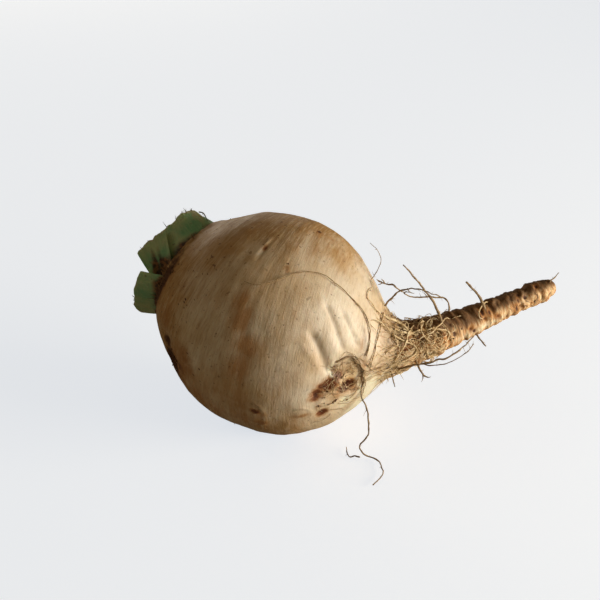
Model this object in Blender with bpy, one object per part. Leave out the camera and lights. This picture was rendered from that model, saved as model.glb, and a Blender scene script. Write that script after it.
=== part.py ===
"""A turnip lying on its side: a round bulb drawn out into a curved tap root, cut leaf stalks
clasping its crown, and fine loose roots about its neck.

The bulb's axis runs along +X, from the crown to the tip of the tap root, and +Z is up.
The origin is the middle of the small flat spot on which the bulb rests.

Lengths in the tables are millimetres. A place on the skin is a station, which is the
length along the spine from the crown, and a bearing, which is the angle in degrees about
the spine: 0 is the top, 90 the -Y side, 180 the underside and 270 the +Y side.
"""

import math

import bmesh
import bpy
import numpy as np

MM = 0.001
GAP = 0.35  # clearance between neighbouring pieces

# The spine, from the middle of the crown through the bulb to the tip of the tap root.
SPINE = (
    (-50, 7.5, 66), (-26, 2.8, 56.6), (0, 0, 49), (28, 1.5, 46), (54, 6, 45),
    (66, 14, 45.5), (78, 27, 47), (96, 47.5, 50.4), (117, 69.5, 55.6),
)

# (station, radius of the skin about the spine)
PROFILE = (
    (0, 0), (0.6, 12), (2.5, 20.5), (7, 28.5), (14, 36.5), (24, 44), (36, 48.6), (50, 50.3),
    (64, 49.2), (76, 45.2), (87, 38), (95, 30), (101, 22.5), (105, 17), (110, 13),
    (117, 10.6), (130, 9), (145, 7.6), (162, 6.2), (176, 5.5), (186, 5.4), (192, 4.7),
    (195.4, 3), (196.4, 0),
)

# (station, bearing, spread, rise): where the skin swells out or, with a minus, sinks in.
SWELLS = (
    (12, 132, 19, -6.6), (26, 0, 16, -0.8), (88, 330, 20, 2), (80, 165, 18, 0.8),
    (60, 255, 18, -1.5), (30, 215, 14, 1.2), (96, 240, 12, 1.5),
    (24, 96, 4.5, -1.6), (32, 106, 6, -1.2),  # the dent low on the crown end
    (92, 78, 5.5, -2.6), (96, 100, 5, -2), (87, 92, 4, 0.8), (100, 78, 4, 1),  # the soil scar
    (63, 112, 4, 0.6), (79, 104, 3.5, 0.6),  # two scabs on the lower flank
)

# (station, bearing of the deepest part, depth): creases that ring the tap root.
CREASES = (
    (116, 80, 0.9), (121, 20, 0.6), (126, 150, 0.7), (132, 60, 0.9), (137, 300, 0.6),
    (142, 100, 0.8), (148, 10, 0.7), (154, 200, 0.7), (159, 70, 0.8), (165, 330, 0.6),
    (170, 90, 0.7), (175, 180, 0.5), (180, 30, 0.7), (186, 110, 0.6), (191, 250, 0.4),
)
CREASE_WIDTH = 1.3

BULB_SIDES = 56
ROOT_SIDES = 28
BULB_RINGS = (0.8, 2.5, 5, 8, 11.5, 15.5, 20, *range(24, 85, 4), *range(87, 117, 3))
ROOT_RINGS = (*range(118, 194, 2), 194, 195.3, 196.1)

FOOT_THIN = 1  # thickness of a leaf stalk at the edges of its clasp
STALK_COLUMNS = 12
STALK_LEVELS = 5

# Leaf stalks about the crown. Each clasps the crown between two bearings at its foot and two
# at its cut, and overlaps the next one from outside:
# name: foot bearings, cut bearings, heights of the cut at its two ends, radius of the cut at
# its two ends, thickness in the middle.
OUTER_STALKS = {
    "leaf_stalk_1": ((-12, 56), (-16, 31), (6.6, 8), (27.4, 24.4), 3.8),
    "leaf_stalk_2": ((52, 94), (27, 64), (6.4, 11.2), (27, 25.6), 3.6),
    "leaf_stalk_3": ((90, 157), (78, 146), (3.6, 3.4), (27.4, 29.8), 3.8),
    "leaf_stalk_4": ((166, 216), (163, 212), (8, 7), (28, 25.2), 4.2),
    "leaf_stalk_5": ((212, 274), (208, 270), (8, 9), (28.2, 24.6), 4.2),
    "leaf_stalk_6": ((270, 344), (266, 340), (7.6, 4.6), (27.6, 23.4), 4),
}
OUTER_FOOT = (28.2, 25.2)  # radius about the crown of a foot's two ends
WIDE_FOOT = (28.2, 29.4)  # that of leaf_stalk_3, which spreads over the shoulder
INNER_STALKS = {
    "inner_stalk_1": ((20, 128), (22, 124), (6, 7.5), (15.8, 14.2), 3.4),
    "inner_stalk_2": ((142, 245), (144, 240), (8, 6.5), (15.6, 14), 3.4),
    "inner_stalk_3": ((259, 362), (262, 358), (7, 5.5), (15.8, 14), 3.2),
}
INNER_FOOT = (15.6, 14.2)
CORNERS = {  # a torn point left standing on a cut: (share of the way along it, rise)
    "leaf_stalk_1": (0, 1.8),
    "leaf_stalk_3": (1.0, 2.2),
    "leaf_stalk_5": (0.6, 1.8),
}
BUD_PROFILE = ((5.2, 0.2), (5.8, 2), (5.3, 4.5), (4.1, 7), (2.4, 9.2), (0.9, 10.4))
BUD_SIDES = 16

# Fine roots that lie along the skin: name: radii at their two ends, then (station, bearing).
SKIN_ROOTS = {
    "rootlet_over_bulb": ((0.25, 0.5), (
        (47, 40), (53, 40), (58, 37), (64, 32), (70, 26), (75, 23), (80, 22), (88, 24),
        (94, 27), (97, 31), (99, 39), (100, 50), (100, 62), (99.5, 70),
    )),
    "rootlet_shoulder": ((0.6, 0.35), (
        (104, 10), (103.5, 25), (103, 42), (102.5, 58), (102, 72), (101, 86),
    )),
    "neck_root_1": ((0.5, 0.3), (
        (108, 40), (112, 51), (115, 64), (115.5, 78), (112, 90), (107, 96),
    )),
    "neck_root_2": ((0.5, 0.3), (
        (109, 28), (114, 34), (121, 30), (128, 40), (133, 58), (131, 78), (126, 92),
    )),
    "neck_root_3": ((0.45, 0.3), (
        (106, 200), (111, 215), (117, 236), (123, 262), (131, 278), (139, 284),
    )),
}

# Fine roots that stand clear of the skin: name: radii at their two ends, the (station,
# bearing) places where they leave it, then points.
FREE_ROOTS = {
    "rootlet_hanging": ((0.7, 0.35), ((89.5, 74), (94, 70), (97, 77), (99, 88), (99, 102),
                                      (98.5, 116)), (
        (54.5, -21.5, 24.5), (55, -21.5, 18.5), (55, -21.5, 13.5), (53, -21.5, 10),
        (51, -21.5, 7), (51.7, -21.8, 4.2), (53.5, -21.5, 2.2), (56.5, -21, 1.4),
        (59.5, -21.5, 1), (62.5, -24.5, 1), (64.8, -29, 1), (65, -32, 1), (64, -36, 1),
        (63.2, -39, 1),
    )),
    "rootlet_hanging_fork": ((0.4, 0.25), (), (
        (51.8, -23.2, 1.8), (49.5, -22.4, 1.2), (47, -23.3, 0.8), (44.7, -21, 0.8),
        (43.2, -17, 0.8),
    )),
    "rootlet_wisp": ((0.3, 0.2), ((96.5, 342),), (
        (45.5, 18.5, 79), (45, 20, 82), (43, 21, 84.5), (39.5, 21.5, 87),
    )),
    "rootlet_upper": ((0.65, 0.3), ((104.5, 346),), (
        (53.5, 9.5, 67.5), (57.5, 9, 72), (61.5, 8, 75), (66, 7.5, 76), (70, 8.5, 75),
    )),
    "rootlet_upper_fork": ((0.45, 0.25), (), (
        (55.6, 10.8, 72.8), (53.5, 11, 73.6), (51, 11, 73.8), (48.5, 10.5, 74.4),
    )),
    "rootlet_bridge": ((0.5, 0.3), ((139.5, 348),), (
        (74.5, 30.5, 59.5), (71.5, 30, 61), (66.5, 26.5, 61.7), (60.5, 22, 63),
        (57, 19.5, 65.5),
    )),
    "rootlet_spike_long": ((0.75, 0.35), ((131.5, 28),), (
        (72.5, 17.5, 63), (68.5, 17, 69), (65, 16, 74), (61, 15, 79), (57.5, 14, 83),
    )),
    "rootlet_spike_short": ((0.75, 0.5), ((155.5, 25),), (
        (87.5, 36.5, 62), (84.5, 35.3, 65.5), (82, 34.5, 68.5),
    )),
    "rootlet_tip": ((0.5, 0.25), ((193.5, 15),), ((117.3, 69.2, 60.2), (118.4, 70.6, 62.2))),
    "rootlet_low_long": ((0.55, 0.35), ((110, 106),), (
        (67, -5.6, 43.4), (72.5, -5.2, 45.8), (79.5, -3.7, 48.3), (86, 0.3, 50.8),
        (89.5, 6.3, 53.3), (92, 11.8, 54.8),
    )),
    "rootlet_low_fine": ((0.4, 0.25), ((119, 125),), (
        (73.6, 4.4, 39.6), (76.3, 3.7, 40.5), (82.3, 4.7, 42.5), (89.3, 7.7, 47),
        (92.3, 11.7, 51),
    )),
    "rootlet_low_stub": ((0.55, 0.35), ((115.5, 108),), ((72.3, -0.6, 39.6), (74.5, -1.9, 37.6))),
    "rootlet_low_hair": ((0.4, 0.25), ((108, 112),), ((61.8, -8.6, 37.2), (63, -10, 34.5))),
    "rootlet_low_short": ((0.5, 0.35), ((148, 115),), ((93, 28, 42.8), (95, 27, 41.4))),
}
TUBE_SIDES = 6

LEAF_FIBRE = ((0.35, 0.2), ((-41.7, 13.7, 92), (-39.8, 14, 91.6), (-37.9, 13.6, 89.8),
                            (-36.3, 12.7, 87.2)))

# name: base colour, roughness
FINISHES = {
    "turnip_skin": ((0.52, 0.36, 0.19, 1), 0.62),
    "leaf_stalk": ((0.13, 0.21, 0.09, 1), 0.55),
    "fine_root": ((0.34, 0.22, 0.1, 1), 0.75),
}


def smooth_path(points, steps):
    """A smooth curve through the points, with this many steps between each two."""
    points = np.array(points, float)
    ends = np.vstack([2 * points[0] - points[1], points, 2 * points[-1] - points[-2]])
    rows = []
    for a, b, c, d in zip(ends, ends[1:], ends[2:], ends[3:]):
        for t in np.arange(steps) / steps:
            rows.append(0.5 * (2 * b + (c - a) * t + (2 * a - 5 * b + 4 * c - d) * t**2
                               + (3 * b - a - 3 * c + d) * t**3))
    return np.array(rows + [points[-1]])


SPINE_PATH = smooth_path(SPINE, 40)
SPINE_STEPS = np.linalg.norm(np.diff(SPINE_PATH, axis=0), axis=1)
LAST_STATION = PROFILE[-1][0]
SPINE_STATIONS = np.append(0, np.cumsum(SPINE_STEPS)) * LAST_STATION / SPINE_STEPS.sum()
PROFILE_PATH = smooth_path(PROFILE, 6)


def spine_point(station):
    return np.array([np.interp(station, SPINE_STATIONS, axis) for axis in SPINE_PATH.T])


def spine_frame(station):
    """Unit vectors at a station: along the spine, to the -Y side, and up."""
    along = spine_point(min(station + 1.5, LAST_STATION)) - spine_point(max(station - 1.5, 0))
    along /= np.linalg.norm(along)
    side = np.cross(along, (0, 0, 1))
    side /= np.linalg.norm(side)
    return along, side, np.cross(side, along)


def turn(degrees):
    """An angle brought between -180 and 180 degrees."""
    return (degrees + 180) % 360 - 180


def skin_radius(station, bearing):
    plain = max(np.interp(station, *PROFILE_PATH.T), 0)
    radius = plain
    for at, toward, spread, rise in SWELLS:
        middle = np.interp(at, *PROFILE_PATH.T)
        across = math.radians(turn(bearing - toward)) * min(middle, plain)
        away = (station - at) ** 2 + across**2
        radius += rise * math.exp(-away / (2 * spread**2)) * min(plain / 25, 1)
    for at, toward, depth in CREASES:
        share = 0.6 + 0.4 * math.cos(math.radians(bearing - toward))
        radius -= depth * share * math.exp(-(((station - at) / CREASE_WIDTH) ** 2))
    return radius


def skin_point(station, bearing):
    along, side, up = spine_frame(station)
    angle = math.radians(bearing)
    out = math.cos(angle) * up + math.sin(angle) * side
    return spine_point(station) + skin_radius(station, bearing) * out


def above_skin(station, bearing, height):
    """The point this far out from the skin, square to it."""
    here = skin_point(station, bearing)
    ahead = skin_point(station + 0.5, bearing) - here
    round_ = skin_point(station, bearing + 1) - here
    out = np.cross(round_, ahead)
    if out @ (here - spine_point(station)) < 0:
        out = -out
    return here + height * out / np.linalg.norm(out)


def crown_point(height, radius, bearing):
    """A point over the crown, in the frame of the spine's first point."""
    along, side, up = spine_frame(0)
    angle = math.radians(bearing)
    out = math.cos(angle) * up + math.sin(angle) * side
    return spine_point(0) - height * along + radius * out


def crown_station(radius):
    """The station at which the crown is this wide."""
    return np.interp(radius, PROFILE_PATH[:20, 1], PROFILE_PATH[:20, 0])


def piece(name, mesh, finish):
    """An object with its own origin at the middle of its box, holding this bmesh."""
    corners = np.array([v.co for v in mesh.verts])
    middle = (corners.min(axis=0) + corners.max(axis=0)) / 2
    bmesh.ops.translate(mesh, verts=mesh.verts, vec=-middle)
    bmesh.ops.scale(mesh, verts=mesh.verts, vec=(MM, MM, MM))
    bmesh.ops.recalc_face_normals(mesh, faces=mesh.faces)
    data = bpy.data.meshes.new(name)
    mesh.to_mesh(data)
    mesh.free()
    data.materials.append(FINISH_SLOTS[finish])
    made = bpy.data.objects.new(name, data)
    made.location = middle * MM
    bpy.context.scene.collection.objects.link(made)
    return made


def bridge(mesh, first, second):
    """Faces between two closed rings, the second with as many points or half as many."""
    count = len(second)
    if len(first) == count:
        for i in range(count):
            j = (i + 1) % count
            mesh.faces.new((first[i], first[j], second[j], second[i]))
        return
    for i in range(count):
        j = (i + 1) % count
        a, b, c = first[2 * i], first[2 * i + 1], first[(2 * i + 2) % len(first)]
        for corners in ((a, b, second[i]), (b, second[j], second[i]), (b, c, second[j])):
            mesh.faces.new(corners)


def cap(mesh, ring, point):
    """A fan of faces from a ring to a point."""
    tip = mesh.verts.new(point)
    for i, corner in enumerate(ring):
        mesh.faces.new((corner, ring[(i + 1) % len(ring)], tip))


def root():
    """The bulb and its tap root, cut flat where they rest."""
    mesh = bmesh.new()
    rings = []
    for stations, sides in ((BULB_RINGS, BULB_SIDES), (ROOT_RINGS, ROOT_SIDES)):
        for station in stations:
            bearings = [360 * i / sides for i in range(sides)]
            rings.append([mesh.verts.new(skin_point(station, b)) for b in bearings])
    for first, second in zip(rings, rings[1:]):
        bridge(mesh, first, second)
    cap(mesh, rings[0], spine_point(0))
    cap(mesh, rings[-1], spine_point(LAST_STATION))
    everything = mesh.verts[:] + mesh.edges[:] + mesh.faces[:]
    bmesh.ops.bisect_plane(mesh, geom=everything, plane_co=(0, 0, 0), plane_no=(0, 0, 1),
                           clear_inner=True)
    rim = [edge for edge in mesh.edges if edge.is_boundary]
    bmesh.ops.contextual_create(mesh, geom=rim)
    bmesh.ops.triangulate(mesh, faces=mesh.faces)
    return piece("turnip_root", mesh, "turnip_skin")


def stalk(name, radii_at_foot, foot, cut, heights, radii, thickness):
    """One cut leaf stalk: a crescent that follows the crown and stands up from it."""
    mesh = bmesh.new()
    corner, rise = CORNERS.get(name, (0, 0))
    shares = [i / (STALK_COLUMNS - 1) for i in range(STALK_COLUMNS)]
    peak = min(range(STALK_COLUMNS), key=lambda i: abs(shares[i] - corner))
    levels = []
    for level in range(STALK_LEVELS):
        v = level / (STALK_LEVELS - 1)
        outer, inner = [], []
        for i, u in enumerate(shares):
            thick = FOOT_THIN + (thickness - FOOT_THIN) * max(math.sin(math.pi * u), 0) ** 1.2
            at_foot = foot[0] + (foot[1] - foot[0]) * u
            at_cut = cut[0] + (cut[1] - cut[0]) * u
            height = heights[0] + (heights[1] - heights[0]) * u + (rise if i == peak else 0)
            foot_radius = radii_at_foot[0] + (radii_at_foot[1] - radii_at_foot[0]) * u
            radius = radii[0] + (radii[1] - radii[0]) * u + 0.5 * math.sin(math.pi * v)
            for side, inset in ((outer, 0), (inner, thick)):
                low = above_skin(crown_station(foot_radius - inset), at_foot, GAP)
                high = crown_point(height, radius - inset, at_cut)
                side.append(mesh.verts.new(low + (high - low) * v))
        levels.append((outer, inner))
    for (low_outer, low_inner), (high_outer, high_inner) in zip(levels, levels[1:]):
        bridge(mesh, low_outer + low_inner[::-1], high_outer + high_inner[::-1])
    for outer, inner in (levels[0], levels[-1]):
        for i in range(STALK_COLUMNS - 1):
            mesh.faces.new((outer[i], outer[i + 1], inner[i + 1], inner[i]))
    bmesh.ops.triangulate(mesh, faces=mesh.faces)
    return piece(name, mesh, "leaf_stalk")


def bud():
    """The shut bud in the middle of the crown."""
    mesh = bmesh.new()
    rings = [
        [mesh.verts.new(crown_point(height + GAP, radius, 360 * i / BUD_SIDES))
         for i in range(BUD_SIDES)]
        for radius, height in BUD_PROFILE
    ]
    for first, second in zip(rings, rings[1:]):
        bridge(mesh, first, second)
    mesh.faces.new(rings[0])
    mesh.faces.new(rings[-1])
    bmesh.ops.triangulate(mesh, faces=mesh.faces)
    return piece("crown_bud", mesh, "leaf_stalk")


def tube(name, path, radii, finish):
    """A round strand along the path, tapering between two radii."""
    mesh = bmesh.new()
    across = np.cross(path[1] - path[0], (0.3, 0.5, 0.8))
    rings = []
    for i, point in enumerate(path):
        along = path[min(i + 1, len(path) - 1)] - path[max(i - 1, 0)]
        along /= np.linalg.norm(along)
        across -= (across @ along) * along
        across /= np.linalg.norm(across)
        over = np.cross(along, across)
        radius = radii[0] + (radii[1] - radii[0]) * i / (len(path) - 1)
        turns = [2 * math.pi * k / TUBE_SIDES for k in range(TUBE_SIDES)]
        rings.append([
            mesh.verts.new(point + radius * (math.cos(a) * across + math.sin(a) * over))
            for a in turns
        ])
    for first, second in zip(rings, rings[1:]):
        bridge(mesh, first, second)
    mesh.faces.new(rings[0])
    mesh.faces.new(rings[-1])
    bmesh.ops.triangulate(mesh, faces=mesh.faces)
    return piece(name, mesh, finish)


def finish_slot(name, colour, roughness):
    made = bpy.data.materials.new(name)
    made.use_nodes = True
    shader = made.node_tree.nodes["Principled BSDF"]
    shader.inputs["Base Color"].default_value = colour
    shader.inputs["Roughness"].default_value = roughness
    return made


for old in list(bpy.data.objects):
    bpy.data.objects.remove(old, do_unlink=True)
FINISH_SLOTS = {name: finish_slot(name, *finish) for name, finish in FINISHES.items()}

root()
for name, (foot, cut, heights, radii, thickness) in OUTER_STALKS.items():
    radii_at_foot = WIDE_FOOT if name == "leaf_stalk_3" else OUTER_FOOT
    stalk(name, radii_at_foot, foot, cut, heights, radii, thickness)
for name, (foot, cut, heights, radii, thickness) in INNER_STALKS.items():
    stalk(name, INNER_FOOT, foot, cut, heights, radii, thickness)
bud()
for name, (radii, route) in SKIN_ROOTS.items():
    clear = max(radii) + GAP + 0.25
    along_skin = [above_skin(*place, clear) for place in smooth_path(route, 3)]
    tube(name, along_skin, radii, "fine_root")
for name, (radii, places, points) in FREE_ROOTS.items():
    clear = GAP + 0.1 + radii[0] * (0.5 if len(places) == 1 else 1.2)
    start = [above_skin(*place, clear) for place in places]
    tube(name, smooth_path([*start, *points], 2), radii, "fine_root")
tube("dried_fibre", smooth_path(LEAF_FIBRE[1], 2), LEAF_FIBRE[0], "leaf_stalk")
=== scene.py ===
"""The looks of the turnip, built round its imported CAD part."""

import itertools
import math

import bmesh
import bpy
import numpy as np
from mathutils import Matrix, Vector


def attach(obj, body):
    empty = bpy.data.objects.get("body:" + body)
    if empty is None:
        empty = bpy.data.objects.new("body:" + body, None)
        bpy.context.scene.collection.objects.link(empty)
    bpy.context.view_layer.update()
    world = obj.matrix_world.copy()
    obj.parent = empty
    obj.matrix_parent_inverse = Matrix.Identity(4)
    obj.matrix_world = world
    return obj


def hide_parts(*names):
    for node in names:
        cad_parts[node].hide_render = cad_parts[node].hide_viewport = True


MM = 0.001

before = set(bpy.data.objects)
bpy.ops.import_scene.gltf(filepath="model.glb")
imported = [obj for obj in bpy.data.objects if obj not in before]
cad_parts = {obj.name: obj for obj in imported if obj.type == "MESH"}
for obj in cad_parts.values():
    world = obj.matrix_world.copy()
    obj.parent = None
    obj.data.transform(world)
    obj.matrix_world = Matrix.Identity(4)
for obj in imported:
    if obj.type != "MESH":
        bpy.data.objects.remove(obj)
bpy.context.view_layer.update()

# ---- the skin, as in part.py

SPINE = (
    (-50, 7.5, 66), (-26, 2.8, 56.6), (0, 0, 49), (28, 1.5, 46), (54, 6, 45),
    (66, 14, 45.5), (78, 27, 47), (96, 47.5, 50.4), (117, 69.5, 55.6),
)
PROFILE = (
    (0, 0), (0.6, 12), (2.5, 20.5), (7, 28.5), (14, 36.5), (24, 44), (36, 48.6), (50, 50.3),
    (64, 49.2), (76, 45.2), (87, 38), (95, 30), (101, 22.5), (105, 17), (110, 13),
    (117, 10.6), (130, 9), (145, 7.6), (162, 6.2), (176, 5.5), (186, 5.4), (192, 4.7),
    (195.4, 3), (196.4, 0),
)
SWELLS = (
    (12, 132, 19, -6.6), (26, 0, 16, -0.8), (88, 330, 20, 2), (80, 165, 18, 0.8),
    (60, 255, 18, -1.5), (30, 215, 14, 1.2), (96, 240, 12, 1.5),
    (24, 96, 4.5, -1.6), (32, 106, 6, -1.2),
    (92, 78, 5.5, -2.6), (96, 100, 5, -2), (87, 92, 4, 0.8), (100, 78, 4, 1),
    (63, 112, 4, 0.6), (79, 104, 3.5, 0.6),
)
CREASES = (
    (116, 80, 0.9), (121, 20, 0.6), (126, 150, 0.7), (132, 60, 0.9), (137, 300, 0.6),
    (142, 100, 0.8), (148, 10, 0.7), (154, 200, 0.7), (159, 70, 0.8), (165, 330, 0.6),
    (170, 90, 0.7), (175, 180, 0.5), (180, 30, 0.7), (186, 110, 0.6), (191, 250, 0.4),
)
CREASE_WIDTH = 1.3
FULL_SWELL = 25  # swells fade where the root's radius is less than this


def smooth_path(points, steps):
    """A smooth curve through the points, with this many steps between each two."""
    points = np.array(points, float)
    ends = np.vstack([2 * points[0] - points[1], points, 2 * points[-1] - points[-2]])
    t = (np.arange(steps) / steps)[:, None]
    rows = [
        0.5 * (2 * b + (c - a) * t + (2 * a - 5 * b + 4 * c - d) * t**2
               + (3 * b - a - 3 * c + d) * t**3)
        for a, b, c, d in zip(ends, ends[1:], ends[2:], ends[3:])
    ]
    return np.vstack([*rows, points[-1:]])


SPINE_PATH = smooth_path(SPINE, 40)
SPINE_STEPS = np.linalg.norm(np.diff(SPINE_PATH, axis=0), axis=1)
LAST_STATION = PROFILE[-1][0]
SPINE_STATIONS = np.append(0, np.cumsum(SPINE_STEPS)) * LAST_STATION / SPINE_STEPS.sum()
PROFILE_PATH = smooth_path(PROFILE, 6)


def unit(vectors):
    return vectors / np.linalg.norm(vectors, axis=-1, keepdims=True)


def spine_points(stations):
    return np.stack([np.interp(stations, SPINE_STATIONS, axis) for axis in SPINE_PATH.T], -1)


def spine_frames(stations):
    along = unit(spine_points(stations + 1.5) - spine_points(stations - 1.5))
    side = unit(np.cross(along, (0, 0, 1)))
    return along, side, np.cross(side, along)


def turned(degrees):
    return (degrees + 180) % 360 - 180


def skin_radii(stations, bearings):
    plain = np.maximum(np.interp(stations, *PROFILE_PATH.T), 0)
    radii = plain.copy()
    for at, toward, reach, rise in SWELLS:
        middle = np.interp(at, *PROFILE_PATH.T)
        across = np.radians(turned(bearings - toward)) * np.minimum(middle, plain)
        away = (stations - at) ** 2 + across**2
        radii += rise * np.exp(-away / (2 * reach**2)) * np.minimum(plain / FULL_SWELL, 1)
    for at, toward, depth in CREASES:
        share = 0.6 + 0.4 * np.cos(np.radians(bearings - toward))
        radii -= depth * share * np.exp(-(((stations - at) / CREASE_WIDTH) ** 2))
    return radii


def skin_points(stations, bearings):
    _, side, up = spine_frames(stations)
    angles = np.radians(bearings)[..., None]
    out = np.cos(angles) * up + np.sin(angles) * side
    return spine_points(stations) + skin_radii(stations, bearings)[..., None] * out


def skin_normals(stations, bearings):
    """Unit vectors square to the skin, pointing out of it."""
    ahead = skin_points(stations + 0.3, bearings) - skin_points(stations - 0.3, bearings)
    round_ = skin_points(stations, bearings + 1) - skin_points(stations, bearings - 1)
    out = unit(np.cross(ahead, round_))
    away = skin_points(stations, bearings) - spine_points(stations)
    return out * np.sign((out * away).sum(-1, keepdims=True))


def above_skin(places):
    """Points from rows of (station, bearing, height)."""
    stations, bearings, heights = np.array(places, float).T
    out = skin_normals(stations, bearings)
    return skin_points(stations, bearings) + heights[:, None] * out


# ---- numeric noise

NOISE_TABLE = np.random.default_rng(11).random(8192)


def value_noise(points, seed=0):
    """Smooth noise from 0 to 1, with cells one unit across."""
    cell = np.floor(points).astype(np.int64)
    part = points - cell
    part = part * part * (3 - 2 * part)
    total = np.zeros(len(points))
    for corner in itertools.product((0, 1), repeat=3):
        x, y, z = (cell + corner).T
        weight = np.prod(np.where(corner, part, 1 - part), axis=1)
        total += weight * NOISE_TABLE[(x * 7919 ^ y * 104729 ^ z * 1299709 ^ seed * 31) % 8192]
    return total


def cloudy(points, octaves=3, seed=0):
    """Noise of several sizes, from about -1 to 1."""
    total, size = np.zeros(len(points)), 0.0
    for octave in range(octaves):
        total += (value_noise(points * 2**octave + 17.3 * octave, seed) * 2 - 1) / 2**octave
        size += 0.7 / 2**octave
    return total / size


def ramp(values, low, high):
    """0 below low, 1 above high, and smooth between them."""
    share = np.clip((values - low) / (high - low), 0, 1)
    return share * share * (3 - 2 * share)


# ---- the root's relief

BULB_COLUMNS = 400
BULB_ROWS = 150
ROOT_COLUMNS = 200
ROOT_ROWS = 150
CROWN_ROWS = (0.15, 0.4, 0.8, 1.4, 2.1, 2.9)  # stations of the close rows at the crown
TIP_ROWS = (194.6, 195.1, 195.5, 195.8, 196.1, 196.3)  # and at the tip
BULB_START, ROOT_END = 3.7, 194
NECK_STATION = 117
RING_SPACING = 3.3  # of the rings round the tap root
FULL_PIT = 0.25  # a pit this deep is dark with soil
FINE_FOLD = 1.2  # folds narrower than this are crumpled

# (station, bearing, half-length along, half-length around, rise)
MARKS = (
    (46, 20, 1.2, 4.5, -0.4), (45, 14, 0.8, 3.5, 0.4),  # the pale scratch on the upper flank
    (63.5, 108, 2.5, 3, 0.5), (65, 118, 3, 3, 0.35), (79, 111, 4, 3, 0.35),  # scabs
    (94, 99, 2.0, 2.6, -2.2), (87.5, 91, 2.2, 3, -1.1), (84.5, 97, 1.8, 2.6, -1.1),
    (86, 116, 1.5, 2, -1.2), (91, 92, 1.8, 2.4, 0.8), (26, 82, 1.5, 1.6, -0.5),
    (28, 110, 3.5, 4, -1.6), (24, 98, 1.5, 3, -0.8), (34, 122, 2, 3, -0.7),
    (110, 42, 1.6, 1.8, -1.4), (112, 70, 1.8, 1.6, -1.6), (127, 53, 1.8, 1.8, -1.8),
    (122, 80, 1.4, 1.3, -1.2), (118, 53, 1.6, 1.4, -1.3), (136, 72, 1.2, 1.6, -1.2),
    (145, 82, 1.2, 1.6, -1.0), (154, 68, 1.2, 1.5, -1.2), (163, 26, 1.2, 1.8, -1.1),
    (161, 80, 1.2, 1.6, -1.1), (175, 20, 1.2, 1.4, -1.0), (178, 50, 2.0, 1.6, -1.3),
    (174, 85, 1.2, 1.2, -1), (182, 94, 1.1, 1.2, -1), (131, 205, 1.3, 1.6, -1.1),
    (149, 250, 1.2, 1.5, -1), (168, 190, 1.2, 1.4, -1),
    (131.5, 28, 2, 1.8, 0.7), (155.5, 25, 2, 1.8, 0.6), (139.5, 348, 1.6, 1.4, 0.5),
    (143, 104, 1.4, 1.2, 0.6), (188, 130, 1.6, 1.4, 0.5), (152, 100, 2.2, 1.4, 0.4),
)

# (half-width, rise, painted shade along the fold, negative for a pale ridge, route of (station,
# bearing) places)
FOLDS = (
    (1.9, -1.3, 0.6, ((79, 56), (82, 61), (84.5, 68), (87, 77), (88.5, 84))),
    (1.3, -0.75, 0.45, ((82, 37), (86, 44), (89.5, 55), (92.5, 67))),
    (1.1, -0.5, 0.4, ((89, 37), (92, 44), (95, 54), (97, 62))),
    (2.0, 0.35, 0, ((84, 52), (87, 60), (90, 69))),
    (1.4, 0.3, 0, ((76, 62), (81, 71), (84, 79))),
    (0.9, 0.4, 0.1, ((89.5, 84), (90.5, 74), (94, 71), (97.5, 78), (99, 90), (99.2, 102),
                      (98.5, 112), (94, 116), (90.5, 108))),
    (0.9, 0.7, -0.55, ((89.5, 87), (88.2, 83), (87.8, 78), (88.6, 73))),
    (0.8, 0.35, 0.35, ((84, 107), (86.5, 102), (90, 103), (94, 109), (97, 116))),
    (0.9, 0.25, 0.7, ((97, 40), (98.6, 52), (99.4, 66), (99, 82))),
    (0.7, 0.7, -0.3, ((104, 10), (107, 13), (109.5, 11), (112.5, 18), (113.5, 28))),
    (0.6, 0.5, -0.2, ((118, 12), (114, 30), (112, 54), (110.5, 72), (108, 92))),
    (0.6, 0.35, 0.6, ((61.5, 104), (63, 102), (65, 104), (66.5, 110), (66, 118), (64, 123))),
    (0.6, 0.35, 0.5, ((76, 107), (78, 105), (81, 107), (82.5, 113), (80.5, 117))),
    (1.6, -0.7, 0.4, ((84, 196), (89, 206), (91, 220))),
    (1.3, -0.5, 0.3, ((78, 296), (82, 306), (86, 312))),
)

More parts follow.
